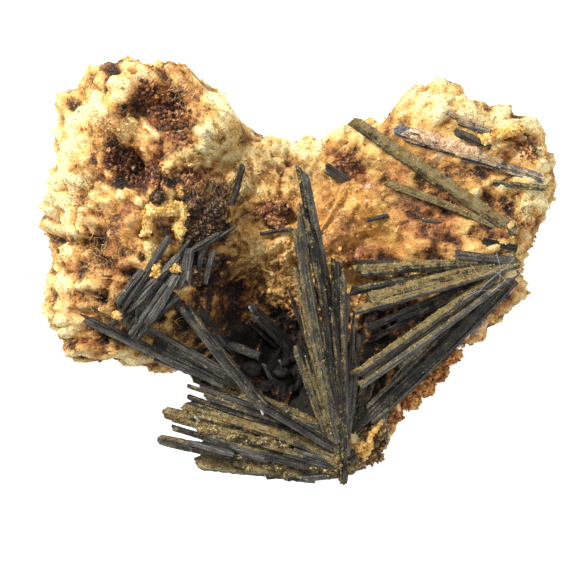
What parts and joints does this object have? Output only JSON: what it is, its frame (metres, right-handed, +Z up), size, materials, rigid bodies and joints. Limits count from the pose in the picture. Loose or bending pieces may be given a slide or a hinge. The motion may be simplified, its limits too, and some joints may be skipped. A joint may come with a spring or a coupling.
{
  "type": "stibnite specimen",
  "caption": "Mineral hand specimen: sprays of dark, striated, blade-like crystals on a rough pale rock that lies on a flat underside.",
  "frame": {"origin": "middle of the footprint, on the surface that the specimen rests on", "axes": "+Z up out of the crystal side, +X along the long side of the rock, +Y to the rock's notched back edge"},
  "size_m": [0.1024, 0.0854, 0.0364],
  "materials": {
    "matrix_rock": "rough cream, amber and rust coloured rock",
    "stibnite": "lead grey, striated along its length, dusted with an ochre crust",
    "crusted_stibnite": "olive and mustard crust over grey"
  },
  "bodies": {
    "root": {"matrix": "matrix_rock", "main_spray": "stibnite", "right_spray": "stibnite", "left_cluster": "stibnite", "lower_left_blades": "stibnite", "slanting_pair": "stibnite", "hollow_crystal": "stibnite", "hollow_needle_back": "stibnite", "hollow_needle_front": "stibnite", "upright_stub": "stibnite", "saddle_needle": "stibnite", "saddle_stub": "stibnite", "right_edge_blade": "stibnite", "slope_stub": "stibnite", "slope_needle": "stibnite", "root_side_blade": "stibnite", "back_stub": "stibnite", "long_back_pair": "crusted_stibnite", "crusted_bundle": "crusted_stibnite", "coated_ridge": "crusted_stibnite"}
  },
  "joints": []
}
